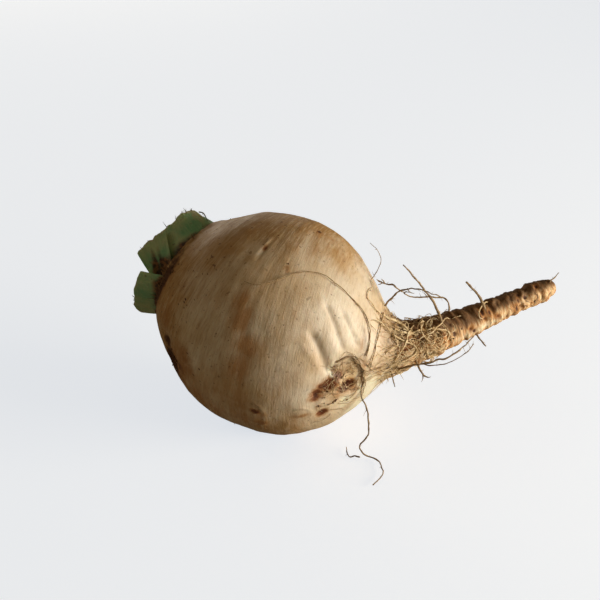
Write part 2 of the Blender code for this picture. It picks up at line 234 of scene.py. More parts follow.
# mask name: (station, bearing, half-length along, half-length around, strength)
STAINS_AND_SHADE = {
    "rust": (
        (59, 73, 3, 5, 0.35), (50, 50, 2, 3.5, 0.35), (55, 64, 2, 4, 0.35),
        (54, 84, 2, 5, 0.3), (63, 27, 2.0, 2.4, 0.9), (46, 18, 1.5, 2.0, 1),
        (63.5, 107, 1.6, 1.6, 1.9), (66, 110, 2.8, 3.4, 0.5), (65.5, 117, 3.2, 2.2, 0.8),
        (79, 112, 4.5, 2, 0.6), (30, 105, 7, 9, 0.9),
        (90, 85.5, 2.4, 2.8, 1.5), (87.5, 91, 3, 3.4, 2.1), (84.5, 97, 2.6, 3.4, 2.3),
        (94, 99, 2.3, 3.2, 2.3), (96.5, 108, 1.4, 2.2, 1.2), (86, 116, 1.9, 2.6, 2.2),
        (85, 106, 1.6, 3.4, 0.8), (91, 103, 3, 4, 0.5), (92, 76, 2, 3, 0.5),
        (98, 62, 1.1, 9, 0.5), (99, 80, 1.3, 8, 0.6), (69, 352, 3, 4, 0.8), (76, 351, 2, 4, 0.5),
        (72, 8, 2.5, 5, 0.3), (36, 96, 7, 12, 0.6), (30, 112, 8, 13, 1.3),
        (22, 84, 4, 10, 0.5), (10, 72, 4, 15, 1), (27, 124, 5, 10, 0.9), (42, 112, 7, 10, 0.4),
        (56, 104, 8, 6, 0.35),
        (112, 70, 2.2, 2.2, 1), (122, 80, 2, 2, 0.9), (145, 82, 1.8, 2.2, 0.9),
        (154, 70, 1.8, 2.2, 0.9), (161, 80, 2, 2.2, 0.9), (174, 85, 2, 2, 0.8),
        (104, 112, 3.5, 7, 0.5), (88, 206, 7, 10, 0.8), (40, 300, 8, 12, 0.4),
        (66, 240, 6, 10, 0.6), (30, 170, 8, 14, 0.6), (75, 300, 4, 7, 0.5),
        (52, 150, 6, 12, 0.4), (50, 215, 5, 9, 0.45),
    ),
    "soil": (
        (28, 112, 5, 9, 1.2), (24, 100, 3, 5, 0.8), (26, 82, 1, 1.4, 0.7),
        (94, 98.5, 1.1, 1.7, 1.2), (87, 92, 1.0, 1.8, 0.9), (84.3, 97.5, 1.2, 1.9, 1.1),
        (8.5, 76, 3.4, 17, 1.5), (86, 116, 0.9, 1.4, 1),
        (96.5, 108, 0.7, 1.2, 0.9), (71, 103, 2.2, 2.6, 0.3), (69, 351, 1.2, 1.5, 1.4),
        (63.5, 108, 1.1, 1.4, 0.8), (110, 42, 1.6, 1.8, 0.9), (127, 53, 1.8, 1.8, 1),
        (118, 53, 1.4, 1.3, 0.9), (136, 72, 1, 1.5, 1), (154, 68, 0.9, 1.2, 0.8),
        (163, 26, 1, 1.6, 1), (175, 20, 1, 1.3, 1), (178, 50, 1.9, 1.5, 1),
        (182, 94, 1, 1.1, 0.9), (131, 205, 1.1, 1.5, 0.9), (149, 250, 1, 1.3, 0.9),
        (34, 190, 3, 6, 0.6), (90, 215, 2, 3.5, 0.9), (70, 300, 1.6, 2.4, 0.7),
        (168, 190, 1, 1.3, 0.9),
    ),
    # orange-brown haze; the rows at stations 70 to 78 are painted shade where the light falls off
    # over the right middle of the bulb
    "haze_and_shade": (
        (58, 104, 9, 11, 0.8), (70, 96, 8, 12, 0.55), (78, 60, 7, 12, 0.35),
        (75, 84, 7, 12, 0.5), (72, 44, 7, 13, 0.3), (70, 2, 9, 13, 0.45),
        (50, 50, 3.5, 7, 1.2), (53, 58, 4, 7, 1.6), (58, 70, 5.5, 6, 1.7), (57, 82, 4.5, 10, 1.5),
        (56, 96, 5, 9, 0.8), (66, 84, 5, 9, 0.4), (46, 88, 6, 12, 0.5), (48, 104, 8, 12, 0.7),
        (34, 60, 6, 14, 0.35), (34, 104, 9, 14, 1.2), (20, 84, 6, 14, 0.9),
        (76, 116, 7, 9, 0.5), (60, 118, 9, 12, 1.0), (92, 90, 6, 11, 0.3), (46, 120, 10, 13, 1.2),
        (105, 60, 4, 14, 0.5), (105, 105, 3, 9, 0.4), (108, 20, 4, 12, 0.6), (102, 88, 3, 8, 0.5),
        (30, 20, 8, 16, 0.45), (86, 96, 3.5, 6, 0.8),
        (62, 14, 7, 12, 0.45), (40, 300, 10, 16, 0.6), (66, 236, 9, 16, 0.7),
        (30, 180, 10, 16, 0.7), (90, 205, 8, 14, 0.7), (56, 340, 9, 12, 0.5),
    ),
    "pale": (
        (102, 122, 5, 12, 1), (106, 108, 3, 6, 0.7), (97, 138, 5, 9, 0.9), (90, 140, 4, 6, 0.5),
        (101, 108, 3, 6, 0.8), (94, 115, 3, 5, 1), (104, 88, 2.5, 6, 0.4), (46, 23, 0.5, 3.5, 0.9),
        (43, 27, 0.4, 3, 0.5), (100, 150, 3, 8, 0.5),
        (150, 98, 22, 2.6, 0.6), (124, 100, 9, 4, 0.6),
    ),
}


def blot(stations, bearings, at, toward, along, around):
    """1 at a place on the skin, falling smoothly to 0 round it."""
    radius = np.interp(at, *PROFILE_PATH.T)
    across = np.radians(turned(bearings - toward)) * radius
    return np.exp(-((stations - at) / along) ** 2 - (across / around) ** 2)


def beside(stations, points, route, width):
    """1 along a route over the skin, falling to 0 beside it and at its two ends."""
    places = smooth_path(route, 14)
    middles = skin_points(*places.T)
    shares = np.linspace(0, 1, len(places))
    taper = np.minimum(1, 6 * np.minimum(shares, 1 - shares) + 0.15)
    near = (stations > places[:, 0].min() - 8) & (stations < places[:, 0].max() + 8)
    local = points[near]
    found = np.zeros(len(local))
    for middle, strength in zip(middles, taper):
        apart = ((local - middle) ** 2).sum(1)
        np.maximum(found, strength * np.exp(-apart / width**2), out=found)
    total = np.zeros(len(stations))
    total[near] = found
    return total


def pit_places():
    """(station, bearing, half-length along, around, depth) of the small pits."""
    draw = np.random.default_rng(23)
    places = []
    for _ in range(220):
        size = draw.uniform(0.25, 0.6)
        places.append((draw.triangular(9, 12, 46), draw.uniform(0, 360), size, size,
                       draw.uniform(0.1, 0.35)))
    for _ in range(80):
        size = draw.uniform(0.25, 0.5)
        places.append((draw.uniform(40, 104), draw.uniform(0, 360), size, 1.4 * size,
                       draw.uniform(0.08, 0.25)))
    for _ in range(34):
        size = draw.uniform(0.4, 1.0)
        places.append((draw.uniform(108, 192), draw.uniform(0, 360), size,
                       size * draw.uniform(1.1, 2.6), draw.uniform(0.3, 0.8)))
    return places


PITS = pit_places()


def flow_of(stations, bearings, around):
    """Coordinates in which noise is drawn out round the spine: smaller around, longer."""
    angles = np.radians(bearings)
    return np.stack([stations, around * np.cos(angles), around * np.sin(angles)], -1)


def relief(stations, bearings, points):
    """(rise of the skin in mm, masks) at each place."""

    def drawn(along, around, octaves, seed):
        return cloudy(flow_of(stations * along, bearings, around), octaves, seed)

    def blots(*place):
        return blot(stations, bearings, *place)

    root = ramp(stations, 102, 116)
    fine, broad = drawn(1.3, 3, 3, 1), drawn(0.16, 1.6, 3, 2)
    lumps = cloudy(points / 18, 3, 3)
    dimples = cloudy(points / 5, 2, 9)
    knots = cloudy(points / 3.0, 3, 5)
    rise = (1 - root) * (0.035 * fine + 0.16 * broad + 0.5 * lumps + 0.06 * dimples)

    phase = stations / RING_SPACING + 1.2 * drawn(0.16, 0.9, 2, 31)
    wave = np.abs(np.sin(np.pi * phase)) ** 0.6
    parted = 0.3 + 0.7 * ramp(drawn(0.4, 1.5, 2, 32), -0.35, 0.4)
    small, bumps = drawn(1.2, 1.1, 3, 33), drawn(0.36, 0.8, 3, 36)
    rise += root * (0.3 * parted * (wave - 0.7) + 0.3 * small + 0.24 * knots + 0.5 * bumps)
    masks = {"groove": root * parted * ramp(-wave, -0.8, -0.2)}

    for at, toward, along, around, depth in MARKS:
        rise += depth * blots(at, toward, along, around)
    pits, rims = np.zeros(len(stations)), np.zeros(len(stations))
    for at, toward, along, around, depth in PITS:
        near = np.abs(stations - at) < 5 * along
        spot = blot(stations[near], bearings[near], at, toward, along, around)
        rise[near] -= depth * spot
        pits[near] = np.maximum(pits[near], spot * min(1, depth / FULL_PIT))
        edge = blot(stations[near], bearings[near], at, toward, 1.9 * along, 1.9 * around)
        rims[near] = np.maximum(rims[near], edge * (at > NECK_STATION - 12))
    for name, rows in STAINS_AND_SHADE.items():
        found = np.zeros(len(stations))
        for *place, strength in rows:
            found = np.maximum(found, strength * blots(*place))
        masks[name] = found
    masks["soil"] = np.maximum(masks["soil"], pits)
    masks["rust"] = np.maximum(masks["rust"], 0.9 * rims)
    shade = np.zeros(len(stations))
    crumpled = 1 + 0.5 * cloudy(points / 1.7, 2, 10)
    # each fold's painted shade goes into the shade mask; a negative value makes the ridge pale
    for width, height, darkening, route in FOLDS:
        found = beside(stations, points, route, width)
        rise += height * found * (crumpled if width < FINE_FOLD else 1)
        shade = np.maximum(shade, max(darkening, 0) * found)
        masks["pale"] = np.maximum(masks["pale"], max(-darkening, 0) * 2 * found)
    masks["shade"] = shade
    collar = np.exp(-(((stations - 7.2) / 1.5) ** 2))
    rise += collar * (0.2 + 1.3 * (0.5 + 0.5 * drawn(0.5, 9, 3, 6)))
    seam = ramp(-stations + 3.5 * cloudy(points / 4, 3, 7), -10, -6.5)
    masks["crown"] = seam * (0.4 + 0.6 * ramp(np.cos(np.radians(bearings - 80)), 0.62, 0.9))
    masks["rooty"] = root
    masks["scar"] = np.maximum(blots(94, 91, 4.6, 11), blots(88, 93, 3, 7))
    rise += masks["scar"] * 0.35 * cloudy(points / 1.5, 3, 8)
    # dirt with painted shade on the upper side, which the tap root's colour uses
    upper = np.cos(np.radians(bearings - 335)) + 0.5 * cloudy(points / 9, 3, 34)
    masks["dirt_and_top_shade"] = ramp(upper, -0.3, 0.6)
    # brown dirt film with painted shade: over the crown half of the bulb, which lies on the darker
    # side
    film_and_shade = ramp(-stations + 18 * cloudy(points / 24, 3, 35), -74, -10)
    film_and_shade = np.maximum(film_and_shade, 0.32 * ramp(-stations + 8 * lumps, -92, -76))
    # browner towards the bottom of the bulb, less towards the neck: dirt film with painted shade
    # underneath
    underside_film_and_shade = ramp(-points[:, 2] + 10 * lumps, -58, -6) * (1 - 0.8 * ramp(stations, 64, 88))
    # painted shade over the top of the bulb, with some dirt film
    crest = np.cos(np.radians(bearings + 26)) - 0.2 * ramp(stations, 50, 85)
    top_film_and_shade = 0.85 * ramp(crest + 0.12 * lumps, 0.3, 1.0)
    masks["film_and_shade"] = np.maximum.reduce([film_and_shade, underside_film_and_shade, top_film_and_shade])
    masks["film_and_shade"] *= 1 - 0.75 * ramp(stations, 84, 102)
    masks["film_and_shade"] *= 1 - 0.45 * blots(38, 64, 11, 17)
    return rise, masks


# ---- mesh helpers


def new_object(name, data):
    made = bpy.data.objects.new(name, data)
    bpy.context.scene.collection.objects.link(made)
    return made


def mesh_piece(name, points, faces, material, replaced=(), masks=None, flow=None):
    """A smooth mesh that rides on the part. Points are in millimetres."""
    data = bpy.data.meshes.new(name)
    data.from_pydata((np.asarray(points) * MM).tolist(), [], faces)
    data.validate()
    data.update()
    data.polygons.foreach_set("use_smooth", [True] * len(data.polygons))
    for mask, values in (masks or {}).items():
        layer = data.attributes.new(mask, "FLOAT", "POINT")
        layer.data.foreach_set("value", np.asarray(values, np.float32))
    if flow is not None:
        layer = data.attributes.new("flow", "FLOAT_VECTOR", "POINT")
        layer.data.foreach_set("vector", np.asarray(flow, np.float32).ravel())
    data.materials.append(material)
    made = new_object(name, data)
    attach(made, "root")
    if replaced:
        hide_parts(*replaced)


def grid_faces(first, rows, columns):
    """Quads of a grid closed round its columns, whose points start at this index."""
    faces = []
    for i in range(rows - 1):
        low, high = first + i * columns, first + (i + 1) * columns
        for j in range(columns):
            k = (j + 1) % columns
            faces.append((low + j, low + k, high + k, high + j))
    return faces


class Strands:
    """Many tapering tubes gathered into one mesh."""

    def __init__(self):
        self.points, self.faces, self.count = [], [], 0

    def add(self, path, radii, sides=6, rough=0.0, seed=0, flat=1.0):
        """One tube along the path, with radii from its first point to its last."""
        path = np.asarray(path, float)
        total = len(path)
        ahead = unit(np.vstack([path[1:], path[-1:]]) - np.vstack([path[:1], path[:-1]]))
        across = np.cross(ahead[0], (0.31, 0.52, 0.79))
        sizes = np.interp(np.linspace(0, 1, total), np.linspace(0, 1, len(radii)), radii)
        if rough:
            sizes = sizes * (1 + rough * cloudy(path / 1.3, 2, 40 + seed))
        turns = 2 * np.pi * np.arange(sides) / sides
        for i in range(total):
            across = across - (across @ ahead[i]) * ahead[i]
            across /= np.linalg.norm(across)
            over = np.cross(ahead[i], across) * flat
            ring = np.cos(turns)[:, None] * across + np.sin(turns)[:, None] * over
            self.points.append(path[i] + sizes[i] * ring)
        self.faces += grid_faces(self.count, total, sides)
        for ring, centre in ((0, path[0]), (total - 1, path[-1])):
            tip = self.count + total * sides + (ring > 0)
            self.points.append(centre[None] + (ahead[ring] * sizes[ring] * (1 if ring else -1)))
            base = self.count + ring * sides
            for j in range(sides):
                pair = (base + j, base + (j + 1) % sides)
                self.faces.append((*(pair if ring else pair[::-1]), tip))
        self.count += total * sides + 2

    def piece(self, name, material, slot, replaced=()):
        mesh_piece(name, np.vstack(self.points), self.faces, material, replaced)


def even_path(points, step):
    """The path resampled so that its points are about this far apart."""
    points = np.asarray(points, float)
    lengths = np.append(0, np.cumsum(np.linalg.norm(np.diff(points, axis=0), axis=1)))
    places = np.linspace(0, lengths[-1], max(3, int(lengths[-1] / step) + 1))
    return np.stack([np.interp(places, lengths, axis) for axis in points.T], -1)


def wobbled(path, amount, seed):
    """The path shaken sideways by this much, less at its two ends."""
    shares = np.linspace(0, 1, len(path))[:, None]
    held = np.minimum(1, 8 * np.minimum(shares, 1 - shares))
    shift = np.stack([cloudy(path / 3.2 + 31 * axis, 2, 50 + seed) for axis in range(3)], -1)
    return path + amount * held * shift


def hair_path(start, way, bend, reach, count=6):
    """Points of a short hair that sets out this way and bends over."""
    t = np.linspace(0, 1, count)[:, None]
    return start + reach * (t * way + t * t * bend)


ROOT_STEP = 0.7  # between the points of a rootlet
ROOT_CLEAR, HAIR_CLEAR = 0.35, 0.2  # least heights above the floor


def fine_root(strands, path, radii, draw, wobble=0.35, hair_every=6.0, seed=0):
    """A rootlet with knots, and with short hairs down its length."""
    path = wobbled(even_path(path, ROOT_STEP), wobble, seed)
    path[:, 2] = np.maximum(path[:, 2], ROOT_CLEAR)
    strands.add(path, radii, sides=7, rough=0.28, seed=seed)
    for _ in range(int(ROOT_STEP * len(path) / hair_every)):
        at = draw.integers(2, len(path) - 1)
        ahead = unit(path[min(at + 1, len(path) - 1)] - path[at - 1])
        way = unit(draw.normal(size=3) + 0.6 * ahead)
        reach = draw.uniform(0.8, 3.2)
        hair = hair_path(path[at], way, 0.35 * unit(draw.normal(size=3)), reach)
        hair[:, 2] = np.maximum(hair[:, 2], HAIR_CLEAR)
        strands.add(hair, (0.13, 0.09, 0.05), sides=4)


# ---- materials


def colour(red, green, blue):
    return (red, green, blue, 1.0)


class Nodes:
    """Short ways to add to a node tree. All but join and put give back a socket."""

    def __init__(self, tree):
        self.tree = tree

    def join(self, value, socket):
        """Links this socket to another, or sets it to a constant."""
        if isinstance(value, bpy.types.NodeSocket):
            self.tree.links.new(value, socket)
        else:
            socket.default_value = value

    def put(self, kind, inputs=None, **settings):
        """A node with these settings and inputs."""
        made = self.tree.nodes.new("ShaderNode" + kind)
        for key, value in settings.items():
            setattr(made, key, value)
        for key, value in (inputs or {}).items():
            self.join(value, made.inputs[key])
        return made

    def blend(self, share, first, second):
        return self.put("Mix", {0: share, 6: first, 7: second}, data_type="RGBA").outputs[2]

    def sums(self, operation, first, second):
        return self.put("Math", {0: first, 1: second}, operation=operation).outputs[0]

    def times(self, first, second):
        return self.sums("MULTIPLY", first, second)

    def plus(self, first, second):
        return self.sums("ADD", first, second)

    def spread(self, value, low, high, bottom=0.0, top=1.0):
        """The value carried smoothly from low..high to bottom..top."""
        ends = {"Value": value, "From Min": low, "From Max": high, "To Min": bottom, "To Max": top}
        return self.put("MapRange", ends, interpolation_type="SMOOTHSTEP").outputs["Result"]

    def noise(self, vector, scale, detail, roughness):
        return self.put("TexNoise", {"Vector": vector, "Scale": scale, "Detail": detail,
                                     "Roughness": roughness}).outputs["Fac"]

    def stretched(self, vector, *scales):
        made = self.put("VectorMath", {0: vector, 1: scales}, operation="MULTIPLY")
        return made.outputs["Vector"]

    def mask(self, name, output="Fac"):
        return self.put("Attribute", attribute_name=name).outputs[output]

    def masked(self, name, ragged, low, high, most):
        """A mask of the mesh, broken up by noise and scaled to at most this much."""
        return self.spread(self.times(self.mask(name), ragged), low, high, 0.0, most)

    def layers(self, base, *rows):
        """Colours laid over the base in turn, from rows of (share, red, green, blue)."""
        for share, *tint in rows:
            base = self.blend(share, base, colour(*tint))
        return base


class Look(Nodes):
    """A new material, with its place texture and its shader's inputs."""

    def __init__(self, name, roughness):
        self.material = bpy.data.materials.new(name)
        self.material.use_nodes = True
        super().__init__(self.material.node_tree)
        self.shader = self.tree.nodes["Principled BSDF"].inputs
        self.shader["Roughness"].default_value = roughness
        self.place = self.put("TexCoord").outputs["Object"]

    def finish(self, base, height, distance, strength=1.0):
        """Links the colour, and a bump of this many metres."""
        self.join(base, self.shader["Base Color"])
        bump = self.put("Bump", {"Height": height, "Distance": distance, "Strength": strength})
        self.join(bump.outputs["Normal"], self.shader["Normal"])
        return self.material

    def flesh(self, weight, *radius):
        """Lets light some way in, this many metres for red, green and blue."""
        self.shader["Subsurface Weight"].default_value = weight
        self.shader["Subsurface Radius"].default_value = radius
        self.shader["Subsurface Scale"].default_value = 1.0


def skin_material():
    look = Look("turnip_skin_detail", 0.5)
    flow = look.mask("flow", "Vector")
    shorter = look.stretched(flow, 1.0, 2.0, 2.0)
    fine = look.noise(shorter, 1.6, 3, 0.6)
    bold = look.noise(shorter, 0.75, 3, 0.55)
    wide = look.noise(shorter, 0.28, 4, 0.62)
    cloud = look.noise(look.place, 38, 4, 0.6)
    grit = look.noise(look.place, 1100, 3, 0.6)
    speckle = look.noise(look.place, 520, 2, 0.5)
    patches = look.noise(look.place, 150, 5, 0.68)
    ragged = look.spread(patches, 0.25, 0.68, 0.35, 1.5)
    uneven = look.times(look.spread(wide, 0.25, 0.7, 0.78, 1.18),
                        look.spread(cloud, 0.3, 0.7, 0.75, 1.2))
    film_and_shade = look.mask("film_and_shade")
    streaky = look.spread(film_and_shade, 0.0, 0.9, 0.5, 1.35)
    filmed = look.spread(film_and_shade, 0.3, 0.95, 0.12, 1.0)
    dotted = look.spread(film_and_shade, 0.0, 0.8, 0.25, 1.0)
    skin = look.layers(
        look.blend(look.spread(cloud, 0.3, 0.7), colour(0.80, 0.70, 0.545),
                   colour(0.68, 0.52, 0.325)),
        # brown dirt film with painted shade on the crown half, the top and the bottom of the bulb
        (look.masked("film_and_shade", uneven, 0.05, 1.0, 0.9), 0.42, 0.215, 0.055),
        # orange-brown haze, with painted shade on the right middle of the bulb
        (look.masked("haze_and_shade", look.spread(wide, 0.3, 0.68, 0.65, 1.25), 0.05, 1.3, 0.8),
         0.47, 0.215, 0.062),
        (look.spread(wide, 0.45, 0.70, 0.0, 0.24), 0.42, 0.255, 0.105),
        (look.times(look.spread(fine, 0.46, 0.72, 0.0, 0.42), streaky), 0.33, 0.17, 0.055),
        (look.times(look.spread(bold, 0.5, 0.68, 0.0, 0.55), filmed), 0.31, 0.15, 0.045),
        (look.times(look.spread(bold, 0.3, 0.46, 0.4, 0.0), filmed), 0.74, 0.60, 0.39),
        (look.times(look.spread(fine, 0.26, 0.46, 0.32, 0.0), streaky), 0.78, 0.63, 0.40),
        (look.times(look.spread(speckle, 0.655, 0.72, 0.0, 0.8), dotted), 0.16, 0.075, 0.03))

    rooty = look.mask("rooty")
    scales = look.noise(look.stretched(flow, 1.0, 0.4, 0.4), 1.1, 5, 0.65)
    bark = look.layers(
        look.blend(look.spread(scales, 0.34, 0.62), colour(0.80, 0.595, 0.34),
                   colour(0.44, 0.20, 0.062)),
        # dirt and painted shade on the upper side of the tap root
        (look.spread(look.mask("dirt_and_top_shade"), 0.0, 1.0, 0.0, 0.9), 0.12, 0.052, 0.014),
        (look.spread(patches, 0.56, 0.74, 0.0, 0.6), 0.27, 0.115, 0.032),
        (look.masked("groove", ragged, 0.10, 0.8, 0.75), 0.085, 0.036, 0.012))

    soil = look.masked("soil", ragged, 0.3, 0.85, 0.95)
    crown = look.masked("crown", ragged, 0.05, 1.0, 0.95)
    base = look.layers(
        look.blend(rooty, skin, bark),
        (look.spread(look.mask("shade"), 0.0, 0.8, 0.0, 0.72), 0.23, 0.155, 0.085),
        (look.masked("scar", ragged, 0.2, 1.2, 0.5), 0.60, 0.40, 0.18),
        (look.masked("rust", ragged, 0.12, 0.9, 0.8), 0.35, 0.145, 0.034),
        (look.masked("rust", ragged, 0.7, 1.3, 0.9), 0.135, 0.031, 0.006),
        (look.masked("pale", look.spread(patches, 0.2, 0.6, 1.4, 0.6), 0.15, 0.8, 0.85),
         0.83, 0.79, 0.58),
        (soil, 0.075, 0.024, 0.009))
    dark = look.blend(look.spread(grit, 0.4, 0.62), colour(0.065, 0.026, 0.010),
                      colour(0.20, 0.095, 0.036))
    base = look.blend(crown, base, dark)

    gloss = look.spread(wide, 0.3, 0.7, 0.42, 0.56)
    dull = look.sums("MAXIMUM", look.sums("MAXIMUM", rooty, soil), crown)
    look.join(look.plus(gloss, look.times(dull, 0.3)), look.shader["Roughness"])
    look.shader["Specular IOR Level"].default_value = 0.35
    look.flesh(0.12, 0.004, 0.002, 0.001)
    rough = look.times(look.times(patches, rooty), 1.8)
    height = look.plus(look.times(fine, 0.35), look.plus(look.times(grit, 0.2), rough))
    return look.finish(base, height, 0.0005, 0.8)


def stalk_material():
    look = Look("leaf_stalk_detail", 0.45)
    fibre = look.noise(look.mask("flow", "Vector"), 1.3, 4, 0.6)
    cloud = look.noise(look.place, 75, 4, 0.6)
    spots = look.noise(look.place, 420, 3, 0.6)
    cut = look.times(look.mask("cut"), look.spread(spots, 0.3, 0.7, 0.5, 1.5))
    base = look.layers(
        look.blend(look.spread(cloud, 0.35, 0.65), colour(0.19, 0.46, 0.245),
                   colour(0.46, 0.57, 0.30)),
        (look.spread(fibre, 0.5, 0.72, 0.0, 0.4), 0.54, 0.66, 0.42),
        (look.spread(fibre, 0.28, 0.44, 0.4, 0.0), 0.12, 0.25, 0.13),
        (look.spread(spots, 0.64, 0.72, 0.0, 0.6), 0.16, 0.12, 0.05),
        (look.spread(cut, 0.35, 1.0, 0.0, 0.8), 0.50, 0.44, 0.25))
    uneven = look.times(look.sums("SUBTRACT", cloud, 0.5), 0.7)
    foot = look.spread(look.plus(look.mask("foot"), uneven), 0.70, 0.95)
    rotten = look.blend(look.spread(spots, 0.42, 0.6), colour(0.05, 0.02, 0.008),
                        colour(0.25, 0.105, 0.035))
    look.join(look.spread(cloud, 0.3, 0.7, 0.36, 0.55), look.shader["Roughness"])
    look.flesh(0.2, 0.002, 0.003, 0.001)
    return look.finish(look.blend(foot, base, rotten),
                       look.plus(fibre, look.times(spots, 0.5)), 0.0004)


def fibre_material(name, dark, light):
    look = Look(name, 0.7)
    patches = look.noise(look.place, 260, 4, 0.6)
    rings = look.noise(look.place, 1400, 2, 0.5)
    base = look.blend(look.spread(patches, 0.35, 0.65), colour(*dark), colour(*light))
    base = look.layers(base, (look.spread(rings, 0.55, 0.75, 0.0, 0.5),
                              *(0.45 * part for part in dark)))
    look.join(look.spread(patches, 0.3, 0.7, 0.6, 0.82), look.shader["Roughness"])
    return look.finish(base, rings, 0.0003)


def soil_material():
    look = Look("soil_crumbs", 0.9)
    grain = look.noise(look.place, 900, 4, 0.6)
    base = look.blend(look.spread(grain, 0.35, 0.65), colour(0.06, 0.024, 0.01),
                      colour(0.20, 0.10, 0.045))
    return look.finish(base, grain, 0.0003)


SKIN = skin_material()
STALK = stalk_material()
ROOT_FIBRE = fibre_material("fine_root_brown", (0.22, 0.14, 0.065), (0.42, 0.29, 0.155))
TAN_FIBRE = fibre_material("fine_root_tan", (0.34, 0.22, 0.10), (0.52, 0.36, 0.19))
NECK_FIBRE = fibre_material("fine_root_pale", (0.60, 0.40, 0.18), (0.87, 0.71, 0.44))
DRY_FIBRE = fibre_material("dried_fibre_detail", (0.12, 0.11, 0.06), (0.25, 0.23, 0.13))
SCALE_FIBRE = fibre_material("crown_scale_brown", (0.08, 0.036, 0.013), (0.34, 0.175, 0.07))
SOIL = soil_material()

# ---- the root


def build_root():
    """The bulb and tap root, one closed mesh, flat where the turnip rests."""
    wide = np.linspace(BULB_START, NECK_STATION, BULB_ROWS - len(CROWN_ROWS))
    slim = np.linspace(NECK_STATION, ROOT_END, ROOT_ROWS - len(TIP_ROWS) - 1)
    bulb_rows = np.concatenate([CROWN_ROWS, wide])
    root_rows = np.concatenate([slim[1:], TIP_ROWS])
    stations = np.concatenate([np.repeat(bulb_rows, BULB_COLUMNS),
                               np.repeat(root_rows, ROOT_COLUMNS)])
    bearings = np.concatenate([
        np.tile(360 * np.arange(BULB_COLUMNS) / BULB_COLUMNS, len(bulb_rows)),
        np.tile(360 * np.arange(ROOT_COLUMNS) / ROOT_COLUMNS, len(root_rows))])
    points = skin_points(stations, bearings)
    rise, masks = relief(stations, bearings, points)
    ends = ramp(stations, 0, 4) * (0.25 + 0.75 * ramp(-stations, -LAST_STATION, -193))
    points = points + (rise * ends)[:, None] * skin_normals(stations, bearings)
    points[:, 2] = np.maximum(points[:, 2], 0)

    faces = grid_faces(0, len(bulb_rows), BULB_COLUMNS)
    last = (len(bulb_rows) - 1) * BULB_COLUMNS
    first = len(bulb_rows) * BULB_COLUMNS
    for i in range(ROOT_COLUMNS):
        j = (i + 1) % ROOT_COLUMNS
        a, b, c = last + 2 * i, last + 2 * i + 1, last + (2 * i + 2) % BULB_COLUMNS
        faces += [(a, b, first + i), (b, first + j, first + i), (b, c, first + j)]
    faces += grid_faces(first, len(root_rows), ROOT_COLUMNS)
    crown, tip = len(points), len(points) + 1
    points = np.vstack([points, spine_points(np.array([0.0, LAST_STATION]))])
    faces += [((j + 1) % BULB_COLUMNS, j, crown) for j in range(BULB_COLUMNS)]
    end = crown - ROOT_COLUMNS
    faces += [(end + j, end + (j + 1) % ROOT_COLUMNS, tip) for j in range(ROOT_COLUMNS)]
    stations = np.append(stations, (0, LAST_STATION))
    bearings = np.append(bearings, (0, 0))
    masks = {name: np.append(values, (values[0], values[-1])) for name, values in masks.items()}
    mesh_piece("turnip_bulb_and_root", points, faces, SKIN, ["turnip_root"],
               masks, flow_of(stations, bearings, 3))


build_root()

# ---- the leaf stalks

# name: foot bearings, cut bearings, heights of the cut, radius of the cut, thickness.
OUTER_STALKS = {
    "leaf_stalk_1": ((-12, 56), (-16, 31), (6.6, 8), (27.4, 24.4), 3.8),
    "leaf_stalk_2": ((52, 94), (27, 64), (6.4, 11.2), (27, 25.6), 3.6),
    "leaf_stalk_3": ((63, 157), (75, 146), (4.2, 3.4), (28.2, 29.8), 3.8),
    "leaf_stalk_4": ((166, 216), (163, 212), (8, 7), (28, 25.2), 4.2),
    "leaf_stalk_5": ((212, 274), (208, 270), (8, 9), (28.2, 24.6), 4.2),
    "leaf_stalk_6": ((270, 344), (266, 340), (7.6, 4.6), (27.6, 23.4), 4),
}
INNER_STALKS = {
    "inner_stalk_1": ((20, 128), (22, 124), (6, 7.5), (15.8, 14.2), 3.4),
    "inner_stalk_2": ((142, 245), (144, 240), (8, 6.5), (15.6, 14), 3.4),
    "inner_stalk_3": ((259, 362), (262, 358), (7, 5.5), (15.8, 14), 3.2),
}
OUTER_FOOT, WIDE_FOOT, INNER_FOOT = (28.2, 25.2), (30.2, 29.4), (15.6, 14.2)
FOOT_THIN = 1
STALK_COLUMNS = 64
STALK_LEVELS = 30
SUNK = 0.8  # how far a stalk's foot goes into the crown
ROUNDED = 0.94  # share of the stalk's height at which its edge starts to round off
CUT_EDGE = 0.9  # share of its height above which it has the cut's colour

# name: share along the stalk, half-width, depth of the rotten patch at its foot.
ROTTEN = {"leaf_stalk_2": (0.5, 0.42, 0.42), "leaf_stalk_3": (0.1, 0.16, 0.14),
          "leaf_stalk_5": (0.6, 0.15, 0.2)}
# name: share along the stalk and half-width of the dried end of its cut.
DRIED = {"leaf_stalk_1": (0.0, 0.22), "leaf_stalk_3": (1.0, 0.12), "leaf_stalk_5": (0.0, 0.1)}


def crown_points(heights, radii, bearings):
    along, side, up = spine_frames(np.array([0.0]))
    angles = np.radians(bearings)[..., None]
    out = np.cos(angles) * up + np.sin(angles) * side
    return (spine_points(np.array([0.0])) - np.asarray(heights)[..., None] * along
            + np.asarray(radii)[..., None] * out)


def crown_stations(radii):
    return np.interp(radii, PROFILE_PATH[:20, 1], PROFILE_PATH[:20, 0])


def line_noise(x, y, z, octaves, seed):
    """Noise at places along a line."""
    return cloudy(np.stack([x, x * 0 + y, x * 0 + z], -1), octaves, seed)


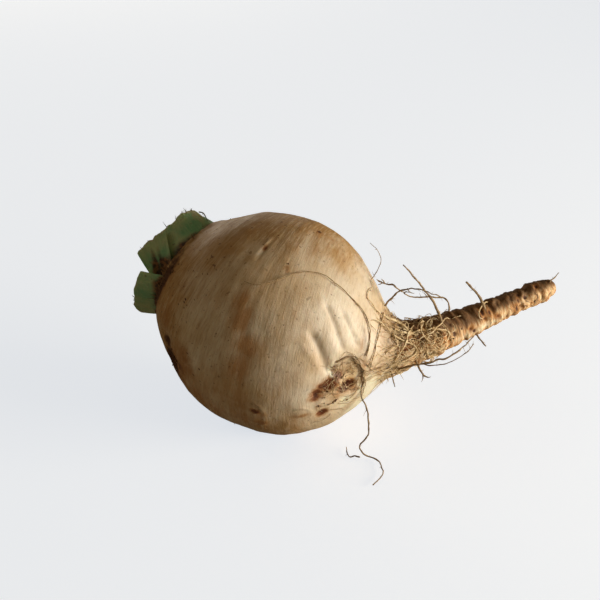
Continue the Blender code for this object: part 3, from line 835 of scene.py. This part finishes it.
def build_stalk(name, feet, foot, cut, heights, radii, thickness, seed):
    """A cut leaf stalk with ribs along it and a ragged cut."""
    u = np.linspace(0, 1, STALK_COLUMNS)
    thick = FOOT_THIN + (thickness - FOOT_THIN) * np.maximum(np.sin(np.pi * u), 0) ** 1.2
    at_foot, at_cut, height, radius, foot_radius = (
        np.interp(u, (0, 1), ends) for ends in (foot, cut, heights, radii, feet))
    ragged = line_noise(u * 9, 0, seed, 3, 60 + seed)
    height += 0.7 * ragged
    rings, cuts, feet_mask, flow = [], [], [], []
    at, wide, deep = ROTTEN.get(name, (0, 1, 0))
    rotten = deep * np.exp(-(((u - at) / wide) ** 2)) * (1 + 0.25 * ragged)
    at, wide = DRIED.get(name, (0, 0.001))
    dried = np.exp(-(((u - at) / wide) ** 2))
    rib = 0.05 * np.cos(u * STALK_COLUMNS * 0.9 + seed)
    rib += 0.16 * line_noise(u * 11, 3.1, seed, 2, 70 + seed)
    for level in range(STALK_LEVELS):
        v = level / (STALK_LEVELS - 1)
        belly = 0.5 * math.sin(math.pi * v)
        round_off = 0.35 * max(0, v - ROUNDED) / (1 - ROUNDED)
        walls = []
        for inset, sign in ((0 * thick, 1), (thick, -1)):
            low = above_skin(np.stack([crown_stations(foot_radius - inset), at_foot,
                                       np.full_like(u, -SUNK)], -1))
            warp = 0.25 * line_noise(u * 3, v * 2, seed, 2, 80)
            out = radius - inset + belly + sign * (rib * (0.4 + 0.6 * v) - round_off) + warp
            high = crown_points(height, out, at_cut)
            wall = low + (high - low) * v
            eaten = 1.3 * np.clip(3.5 * (rotten - v * 0.9), 0, 1) * (sign > 0)
            wall -= eaten[:, None] * unit(crown_points(height, out + 1, at_cut) - high)
            walls.append(wall)
        rings.append(np.vstack([walls[0], walls[1][::-1]]))
        edge = max(0, v - CUT_EDGE) / (1 - CUT_EDGE) + 1.6 * dried * v
        cuts.append(np.concatenate([edge, edge[::-1]]))
        darkening = 1 - v + rotten
        feet_mask.append(np.concatenate([darkening, darkening[::-1]]))
        both = np.concatenate([u, u[::-1]])
        flow.append(np.stack([both * 22, both * 0 + v * 2.2, both * 0 + seed * 5], -1))
    count = 2 * STALK_COLUMNS
    faces = grid_faces(0, STALK_LEVELS, count)
    for level, flip in ((0, True), (STALK_LEVELS - 1, False)):
        base = level * count
        for i in range(STALK_COLUMNS - 1):
            quad = (base + i, base + i + 1, base + count - 2 - i, base + count - 1 - i)
            faces.append(quad[::-1] if flip else quad)
    mesh_piece(name + "_cut", np.vstack(rings), faces, STALK, [name],
               {"cut": np.concatenate(cuts), "foot": np.concatenate(feet_mask)},
               np.vstack(flow))


for number, (name, spec) in enumerate(OUTER_STALKS.items()):
    build_stalk(name, WIDE_FOOT if name == "leaf_stalk_3" else OUTER_FOOT, *spec, seed=number)
for number, (name, spec) in enumerate(INNER_STALKS.items()):
    build_stalk(name, INNER_FOOT, *spec, seed=10 + number)

BUD_PROFILE = ((4.6, -1), (5.4, 0.8), (5.8, 2), (5.3, 4.5), (4.1, 7), (2.4, 9.2), (0.7, 10.5))
BUD_COLUMNS = 72


def build_bud():
    """The shut bud: folded leaf tips wound about the middle of the crown."""
    path = smooth_path(BUD_PROFILE, 6)
    columns = BUD_COLUMNS
    bearings = 360 * np.arange(columns) / columns
    rings, flow = [], []
    for radius, height in path:
        folds = 0.09 * radius * np.abs(np.sin(np.radians(bearings * 2.5 + height * 14)))
        rings.append(crown_points(np.full(columns, height), radius - folds, bearings))
        flow.append(np.stack([bearings / 12, bearings * 0 + height / 4, bearings * 0 + 90], -1))
    faces = grid_faces(0, len(path), columns)
    faces.append(tuple(reversed(range(columns))))
    faces.append(tuple((len(path) - 1) * columns + i for i in range(columns)))
    shares = np.repeat(np.linspace(0, 1, len(path)), columns)
    mesh_piece("crown_bud_folds", np.vstack(rings), faces, STALK, ["crown_bud"],
               {"cut": shares * 0, "foot": (1 - shares) ** 3}, np.vstack(flow))


build_bud()

# ---- the fine roots

# name: radii at the two ends, then the route of (station, bearing) places over the skin.
SKIN_ROOTS = {
    "rootlet_over_bulb": ((0.11, 0.27), (
        (47, 40), (53, 40), (58, 37), (64, 32), (70, 26), (75, 23), (80, 22), (88, 24),
        (94, 27), (97, 31), (99, 39), (100, 50), (100, 62), (99.5, 70),
    )),
    "rootlet_shoulder": ((0.32, 0.18), (
        (104, 10), (103.5, 25), (103, 42), (102.5, 58), (102, 72), (101, 86),
    )),
    "neck_root_1": ((0.5, 0.3), (
        (108, 40), (112, 51), (115, 64), (115.5, 78), (112, 90), (107, 96),
    )),
    "neck_root_2": ((0.5, 0.3), (
        (109, 28), (114, 34), (121, 30), (128, 40), (133, 58), (131, 78), (126, 92),
    )),
    "neck_root_3": ((0.45, 0.3), (
        (106, 200), (111, 215), (117, 236), (123, 262), (131, 278), (139, 284),
    )),
}

# name: radii at the two ends, the places where it leaves the skin, then points in the air.
FREE_ROOTS = {
    "rootlet_hanging": ((0.4, 0.3), ((89.5, 74), (94, 70), (97, 77), (99, 88), (99, 102),
                                       (98.5, 116)), (
        (54.5, -21.5, 24.5), (55, -21.5, 18.5), (55, -21.5, 13.5), (53, -21.5, 10),
        (51, -21.5, 7), (51.7, -21.8, 4.2), (53.5, -21.5, 2.2), (56.5, -21, 1.4),
        (59.5, -21.5, 1), (62.5, -24.5, 1), (64.8, -29, 1), (65, -32, 1), (64, -36, 1),
        (63.2, -39, 1),
    )),
    "rootlet_hanging_fork": ((0.35, 0.2), (), (
        (51.8, -23.2, 1.8), (49.5, -22.4, 1.2), (47, -23.3, 0.8), (44.7, -21, 0.8),
        (43.2, -17, 0.8),
    )),
    "rootlet_wisp": ((0.22, 0.12), ((96.5, 342),), (
        (45.5, 18.5, 79), (45, 20, 82), (43, 21, 84.5), (39.5, 21.5, 87),
    )),
    "rootlet_upper": ((0.5, 0.3), ((104.5, 346),), (
        (53.5, 9.5, 67.5), (57.5, 9, 72), (61.5, 8, 75), (66, 7.5, 76), (70, 8.5, 75),
    )),
    "rootlet_upper_fork": ((0.45, 0.25), (), (
        (55.6, 10.8, 72.8), (53.5, 11, 73.6), (51, 11, 73.8), (48.5, 10.5, 74.4),
    )),
    "rootlet_bridge": ((0.42, 0.28), ((139.5, 348),), (
        (74.5, 30.5, 59.5), (71.5, 30, 61), (66.5, 26.5, 61.7), (60.5, 22, 63),
        (57, 19.5, 65.5),
    )),
    "rootlet_spike_long": ((0.75, 0.3), ((131.5, 28),), (
        (72.5, 17.5, 63), (68.5, 17, 69), (65, 16, 74), (61, 15, 79), (57.5, 14, 83),
    )),
    "rootlet_spike_short": ((0.75, 0.5), ((155.5, 25),), (
        (87.5, 36.5, 62), (84.5, 35.3, 65.5), (82, 34.5, 68.5),
    )),
    "rootlet_tip": ((0.5, 0.2), ((193.5, 15),), ((117.3, 69.2, 60.2), (118.4, 70.6, 62.2))),
    "rootlet_low_long": ((0.5, 0.3), ((110, 106),), (
        (67, -5.6, 43.4), (72.5, -5.2, 45.8), (79.5, -3.7, 48.3), (86, 0.3, 50.8),
        (89.5, 6.3, 53.3), (92, 11.8, 54.8),
    )),
    "rootlet_low_fine": ((0.3, 0.18), ((119, 125),), (
        (73.6, 4.4, 39.6), (76.3, 3.7, 40.5), (82.3, 4.7, 42.5), (89.3, 7.7, 47),
        (92.3, 11.7, 51),
    )),
    "rootlet_low_stub": ((0.55, 0.35), ((115.5, 108),), ((72.3, -0.6, 39.6), (74.5, -1.9, 37.6))),
    "rootlet_low_hair": ((0.35, 0.2), ((108, 112),), ((61.8, -8.6, 37.2), (63, -10, 34.5))),
    "rootlet_low_short": ((0.5, 0.3), ((148, 115),), ((93, 28, 42.8), (95, 27, 41.4))),
}
DRIED_FIBRE = ((-41.7, 13.7, 92), (-39.8, 14, 91.6), (-37.9, 13.6, 89.8), (-36.3, 12.7, 87.2))


def build_roots():
    draw = np.random.default_rng(5)
    for number, (name, (radii, route)) in enumerate(SKIN_ROOTS.items()):
        places = np.array([(*place, 0.45) for place in smooth_path(route, 4)])
        places[:, 2] += 0.25 * np.abs(cloudy(places / 4, 2, 90 + number))
        strands = Strands()
        fine_root(strands, above_skin(places), radii, draw, 0.3, 7, number)
        neck = name.startswith("neck")
        strands.piece(name + "_fine", NECK_FIBRE if neck else TAN_FIBRE, "fine_root", [name])
    for number, (name, (radii, places, points)) in enumerate(FREE_ROOTS.items()):
        start = above_skin([(*place, 0.7) for place in places]) if places else np.zeros((0, 3))
        strands = Strands()
        if len(places) == 1:
            sunk = above_skin([(*places[0], -0.6)])
            start = np.vstack([sunk, start])
        path = smooth_path([*start, *points], 6)
        fine_root(strands, path, radii, draw, 0.4, 5, 20 + number)
        strands.piece(name + "_fine", ROOT_FIBRE, "fine_root", [name])
    strands = Strands()
    path = smooth_path(DRIED_FIBRE, 6)
    fine_root(strands, path, (0.3, 0.18), draw, 0.3, 2, 60)
    strands.piece("dried_fibre_fine", DRY_FIBRE, "leaf_stalk", ["dried_fibre"])


NECK_LOW, NECK_HIGH = 98, 150  # stations between which the neck's strands creep


def creep(draw, start, heading, heights, turn, curl=0.0, step=0.7, low=0, high=LAST_STATION):
    """Points of a strand at these heights over the skin, which turns as it goes."""
    (station, bearing), places = start, []
    for height in heights:
        places.append((station, bearing, height))
        radius = max(4.0, float(np.interp(station, *PROFILE_PATH.T)))
        station += step * math.cos(heading)
        bearing += math.degrees(step * math.sin(heading) / radius)
        heading += curl + draw.normal() * turn
        station = min(max(station, low), high)
    return above_skin(places)


def wander(draw, start, heading, steps, turn, curl, low, high):
    """Points of a strand on the neck, which rises and falls between two heights."""
    waves = np.sin(draw.uniform(0, 6) + 0.55 * np.arange(steps))
    heights = low + (high - low) * (0.5 + 0.5 * waves)
    return creep(draw, start, heading, heights, turn, curl, low=NECK_LOW, high=NECK_HIGH)


CURLED, CREEPING, STUBS = 84, 100, 20  # how many strands of each kind the neck has


def build_tangle():
    """The matted fine roots about the neck, in two shades."""
    draw = np.random.default_rng(41)
    pale, brown = Strands(), Strands()
    for i in range(CURLED):
        seen = i % 4 > 0
        start = (draw.triangular(106, 116, 136),
                 draw.uniform(20, 98) if seen else draw.uniform(125, 335))
        path = wander(draw, start, draw.uniform(0, 2 * math.pi), int(draw.integers(14, 34)),
                      0.2, draw.choice((-1, 1)) * draw.uniform(0.06, 0.30), -0.15, 1.25)
        thick = draw.uniform(0.13, 0.27)
        group = pale if draw.random() < 0.82 or start[1] > 60 else brown
        group.add(path, (thick, thick * 0.9, thick * 0.4), sides=5, rough=0.25, seed=i % 7)
    for i in range(CREEPING):
        seen = i % 5 > 0
        start = (draw.uniform(109, 117), draw.uniform(15, 140) if seen else draw.uniform(140, 375))
        path = wander(draw, start, math.pi + draw.normal() * 0.35, int(draw.integers(8, 22)),
                      0.16, draw.normal() * 0.04, -0.05, 0.45)
        thick = draw.uniform(0.09, 0.19)
        group = pale if draw.random() < 0.7 or seen else brown
        group.add(path, (thick, thick * 0.8, thick * 0.3), sides=4)
    for _ in range(STUBS):
        start = (draw.uniform(103, 122), draw.uniform(98, 132))
        root = above_skin([(*start, -0.2), (*start, 1.0)])
        reach = draw.uniform(1.2, 4.0)
        bend = 0.5 * unit(draw.normal(size=3))
        hair = hair_path(root[0], unit(root[1] - root[0]), bend, reach, 8)
        brown.add(hair, (0.16, 0.12, 0.06), sides=4)
    pale.piece("neck_tangle_pale", NECK_FIBRE, "fine_root")
    brown.piece("neck_tangle_brown", TAN_FIBRE, "fine_root")


# (radii, route of (station, bearing, height) places) of strands laid one by one.
UPPER_LINKS = (
    ((48.5, 10.5, 74.4), (47.4, 10.2, 74.9), (46.6, 10.0, 75.8)),
    ((49.3, 10.6, 74.3), (48.2, 10.8, 73.2), (47.2, 10.6, 72.8)),
    ((48.8, 10.5, 74.4), (47.8, 11.2, 74.2), (46.8, 11.6, 74.5)),
    ((50.2, 10.8, 73.9), (49.8, 10.6, 75.2), (48.8, 10.3, 76.2)),
    ((55.6, 10.8, 72.8), (57, 12.2, 71.2), (57.8, 15, 68.8), (57, 19.5, 65.5)),
    ((61.5, 8, 75), (62.4, 8.6, 73.4), (64.5, 9.2, 72.6)),
    ((57, 19.5, 65.5), (58, 18.6, 66.8), (60, 17.4, 67.6)),
    ((66.5, 26.5, 61.7), (66.2, 24.6, 63.6), (65, 23.8, 65.2)),
    ((71.5, 30, 61), (70.2, 28.4, 62.6), (68, 27.6, 63.2)),
    ((70, 8.5, 75), (72, 8.8, 74.2), (74.2, 9.8, 73.8)),
    ((73.4, -1.3, 38.6), (73.5, -1.8, 36.6), (73.0, -2.0, 34.6)),
    ((74.0, -1.6, 38.0), (75.6, -1.6, 37.4), (77.0, -1.2, 37.8)),
)
LAID_STRANDS = (
    ((0.3, 0.42, 0.3), ((118, 14, 0.5), (114, 32, 1.0), (112, 54, 1.4), (110, 74, 0.9),
                        (108, 94, 0.4))),
    ((0.55, 0.7, 0.35), ((104, 13, 0.2), (107, 13, 0.8), (109.5, 11, 1.0), (112.5, 18, 0.8),
                         (114.5, 30, 0.6), (118, 40, 0.5))),
    ((0.22, 0.25, 0.15), ((97, 14, 0.2), (99, 16, 0.6), (101.5, 18, 0.5), (104, 16, 0.3))),
    ((0.18, 0.2, 0.12), ((97, 14, 0.2), (97, 6, 0.4), (98, -5, 0.3))),
    ((0.22, 0.3, 0.2), ((160, -2, 0.2), (157.5, 8, 1.4), (154, 20, 2.0), (151, 36, 1.8),
                        (150.5, 52, 0.6), (152, 60, 0.1))),
    ((0.3, 0.35, 0.2), ((124, 2, 0.2), (121, 16, 1.8), (119, 34, 2.3), (120, 52, 1.6),
                        (123, 66, 0.4))),
    ((0.25, 0.3, 0.2), ((133, 20, 0.2), (129, 32, 1.6), (124, 44, 2.0), (119, 50, 1.2),
                        (114, 60, 0.3))),
    ((0.2, 0.24, 0.14), ((110, 150, 0.2), (116, 176, 1.2), (124, 200, 1.0), (131, 214, 0.2))),
    ((0.2, 0.24, 0.14), ((112, 300, 0.2), (118, 282, 1.4), (126, 262, 1.2), (130, 240, 0.2))),
)


def build_laid_strands():
    strands = Strands()
    for number, (radii, route) in enumerate(LAID_STRANDS):
        path = even_path(above_skin(smooth_path(route, 6)), 0.6)
        path = wobbled(path, 0.12 if max(radii) < 0.26 else 0.3, number)
        strands.add(path, radii, sides=6, rough=0.25, seed=number)
    strands.piece("neck_strands", NECK_FIBRE, "fine_root")
    links = Strands()
    for number, points in enumerate(UPPER_LINKS):
        path = wobbled(even_path(smooth_path(points, 8), 0.5), 0.25, 70 + number)
        links.add(path, (0.3, 0.26, 0.12), sides=5, rough=0.3, seed=number)
    links.piece("upper_root_links", ROOT_FIBRE, "fine_root")


SCAR_HOOP_PATH = smooth_path(((89.5, 79), (90, 74), (92, 70.5), (95, 72), (97, 79), (98, 88),
                              (98.6, 99), (99, 112), (98, 124)), 8)
SCAR_SWIRL = ((90, 82), (91, 73), (94, 71), (98, 79), (99, 92), (98.5, 106), (96, 114),
              (92, 109), (90, 94))


SWIRLS, THREADS, HOOPS = 26, 44, 5  # how many strands of each kind the wound has


def build_scar_tangle():
    """Fine roots matted round the rim of the healed wound."""
    draw = np.random.default_rng(77)
    strands, loops = Strands(), Strands()
    loop = smooth_path((*SCAR_SWIRL, SCAR_SWIRL[0]), 10)
    middle = loop.mean(0)
    for i in range(SWIRLS):
        start, length = draw.integers(0, len(loop)), int(draw.integers(12, 38))
        scale = draw.uniform(0.25, 1.12)
        drift, lift = draw.normal() * 0.22, draw.uniform(0, 6)
        shift = draw.normal(size=2) * (0.5, 2.5)
        places = []
        for k in range(length):
            spot = loop[(start + k) % len(loop)]
            size = scale + drift * k / length
            height = 0.5 + 0.6 * math.sin(lift + k * 0.3)
            places.append((*(middle + shift + (spot - middle) * size), height))
        path = wobbled(even_path(above_skin(places), 0.6), 0.6, i)
        thick = draw.uniform(0.1, 0.22)
        group = loops if i % 2 else strands
        group.add(path, (thick * 0.6, thick, thick * 0.4), sides=4)
    for _ in range(THREADS):
        start = (draw.uniform(84, 101), draw.uniform(72, 122))
        steps = int(draw.integers(8, 18))
        heights = 0.1 + 0.7 * np.sin(np.pi * np.arange(steps) / (steps - 1))
        path = creep(draw, start, draw.uniform(0, 2 * math.pi), heights, 0.35, step=0.55)
        thick = draw.uniform(0.08, 0.15)
        strands.add(path, (thick, thick, 0.05), sides=4)
    strands.piece("scar_tangle", TAN_FIBRE, "fine_root")
    loops.piece("scar_loops_pale", NECK_FIBRE, "fine_root")
    hoops = Strands()
    for i in range(HOOPS):
        first = int(draw.integers(0, 12))
        last = len(SCAR_HOOP_PATH) - int(draw.integers(0, 16))
        places = np.array([(*place, 0.7) for place in SCAR_HOOP_PATH[first:last]])
        places += draw.normal(size=3) * (0.7, 2.5, 0.2)
        path = wobbled(even_path(above_skin(places), 0.6), 0.7, 20 + i)
        thick = draw.uniform(0.1, 0.17)
        hoops.add(path, (thick * 0.5, thick, thick * 0.5), sides=5, rough=0.25, seed=i)
    hoops.piece("scar_hoop_strands", ROOT_FIBRE, "fine_root")


SCALES = 190


def build_crown_scales():
    """Dried, ragged scales in the seam between the stalks and the bulb."""
    draw = np.random.default_rng(63)
    strands = Strands()
    for i in range(SCALES):
        seam = draw.uniform(5.4, 9.0)
        bearing = draw.uniform(0, 360) if i % 3 == 0 else draw.uniform(52, 96)
        start = above_skin([(seam, bearing, -0.4), (seam, bearing, 1.0)])
        out = unit(start[1] - start[0])
        along = unit(above_skin([(seam - 1.0, bearing, 0.3)])[0]
                     - above_skin([(seam + 1.0, bearing, 0.3)])[0])
        reach, lean = draw.uniform(1.5, 4.6), draw.uniform(0.35, 1.0)
        way = out * (1.1 - lean) + along * lean
        path = hair_path(start[0], way, 0.25 * draw.normal(size=3), reach, 7)
        width = draw.uniform(0.25, 0.9)
        strands.add(path, (width, width * 1.1, width * 0.7, 0.08), sides=6, rough=0.5,
                    seed=i % 9, flat=0.3)
    strands.piece("crown_scales", SCALE_FIBRE, "leaf_stalk")


def build_dried_tips():
    """Dry, split threads along the cut edges of the stalks."""
    draw = np.random.default_rng(29)
    strands = Strands()
    for name, (_, cut, heights, radii, _) in OUTER_STALKS.items():
        for i in range(18 if name == "leaf_stalk_1" else 3):
            u = draw.uniform(0.03, 0.97)
            if name == "leaf_stalk_1" and i < 15:
                u = draw.uniform(0.0, 0.35)
            bearing, height, radius = (np.interp(u, (0, 1), ends) for ends in (cut, heights, radii))
            foot, top = crown_points(height + np.array([-0.6, 0.4]),
                                     radius - np.array([0.8, 0.4]),
                                     np.array([bearing, bearing]))
            reach = draw.uniform(0.8, 2.2)
            path = hair_path(foot, unit(top - foot), 0.4 * draw.normal(size=3), reach)
            strands.add(path, (0.2, 0.15, 0.06), sides=4)
    strands.piece("dried_stalk_threads", DRY_FIBRE, "leaf_stalk")


CRUMB_CORNERS = unit(np.array([
    (x, y, z) for x, y, z in itertools.product((-1, 0, 1), repeat=3) if (x, y, z) != (0, 0, 0)
], float))
CRUMB_ZONES = (
    (16, 84, 96, 84, 118, 0.5), (40, 6.5, 12, 0, 360, 0.5), (26, 7, 12, 30, 110, 0.6),
    (14, 25, 32, 100, 122, 0.5), (60, 106, 150, -30, 360, 0.35), (20, 80, 100, 190, 230, 0.4),
    (30, 40, 100, 0, 360, 0.25),
)


def build_crumbs():
    """Crumbs of dried soil in the hollows."""
    draw = np.random.default_rng(97)
    points, faces = [], []
    hull = crumb_faces()
    for count, low, high, first, last, size in CRUMB_ZONES:
        for _ in range(count):
            spot = (draw.uniform(low, high), draw.uniform(first, last), 0.05)
            middle = above_skin([spot])[0]
            reach = size * draw.uniform(0.4, 1.3)
            base = len(points)
            lumps = 1 + 0.35 * draw.normal(size=len(CRUMB_CORNERS)).clip(-1.2, 1.2)
            stretch = draw.uniform(0.6, 1.3, 3)
            for corner, lump in zip(CRUMB_CORNERS, lumps):
                points.append(middle + corner * lump * reach * stretch)
            faces += [tuple(base + i for i in face) for face in hull]
    points = np.array(points)
    points[:, 2] = np.maximum(points[:, 2], 0.02)
    mesh_piece("soil_crumbs", points, faces, SOIL)


def crumb_faces():
    """Triangles of the closed shell through the crumb's corners."""
    shell = bmesh.new()
    for corner in CRUMB_CORNERS:
        shell.verts.new(corner)
    shell.verts.index_update()
    bmesh.ops.convex_hull(shell, input=shell.verts)
    shell.faces.ensure_lookup_table()
    found = [tuple(vert.index for vert in face.verts) for face in shell.faces]
    shell.free()
    return found


build_roots()
build_tangle()
build_laid_strands()
build_scar_tangle()
build_crown_scales()
build_dried_tips()
build_crumbs()

# ---- stage and light

HALF = 4  # half of the floor's width, in metres
FLOOR_CORNERS = [(-HALF, -HALF, 0), (HALF, -HALF, 0), (HALF, HALF, 0), (-HALF, HALF, 0)]
floor_mesh = bpy.data.meshes.new("floor")
floor_mesh.from_pydata(FLOOR_CORNERS, [], [(0, 1, 2, 3)])
floor = new_object("floor", floor_mesh)
look = Look("floor_pale", 0.9)
look.shader["Base Color"].default_value = colour(0.43, 0.40, 0.33)
look.shader["Emission Color"].default_value = colour(0.92, 0.98, 1.06)
seen = look.put("LightPath").outputs["Is Camera Ray"]
look.join(look.times(seen, 0.72), look.shader["Emission Strength"])
floor_mesh.materials.append(look.material)

world = bpy.data.worlds.new("studio")
bpy.context.scene.world = world
world.use_nodes = True
sky = Nodes(world.node_tree)
background = sky.tree.nodes["Background"].inputs
seen = sky.put("LightPath").outputs["Is Camera Ray"]
sky.join(sky.spread(seen, 0, 1, 0.13, 0.82), background["Strength"])
sky.join(sky.blend(seen, colour(1, 0.74, 0.42), colour(1, 1, 1)), background["Color"])

BULB_MIDDLE = Vector((0, 0, 0.049))

# name, direction from the bulb, distance, width and height in metres, watts, tint
LIGHTS = (
    ("key", (1.0, 0.13, 0.10), 0.9, 0.5, 0.25, 10.5, (1, 0.935, 0.83)),
    ("back", (-0.6, 0.79, 0.09), 1.2, 0.8, 0.5, 2.8, (1, 0.9, 0.74)),
    ("fill", (-0.85, -0.3, 0.7), 1.2, 0.5, 0.5, 0.8, (1, 0.94, 0.78)),
)


def aim(made, place, target):
    """Puts a light or camera at this place, facing the target."""
    made.location = place
    made.rotation_euler = (place - target).to_track_quat("Z", "Y").to_euler()


for name, toward, distance, width, height, power, tint in LIGHTS:
    data = bpy.data.lights.new(name, "AREA")
    data.shape = "RECTANGLE"
    data.size, data.size_y, data.energy, data.color = width, height, power, tint
    aim(new_object(name, data), BULB_MIDDLE + Vector(toward).normalized() * distance, BULB_MIDDLE)

camera_data = bpy.data.cameras.new("camera")
camera_data.lens, camera_data.sensor_width = 70, 36
camera = new_object("camera", camera_data)
aim(camera, Vector((0.17787, -0.42719, 0.32782)), Vector((0.01027, 0.00940, 0.05782)))
bpy.context.scene.camera = camera
bpy.context.scene.view_settings.view_transform = "Standard"
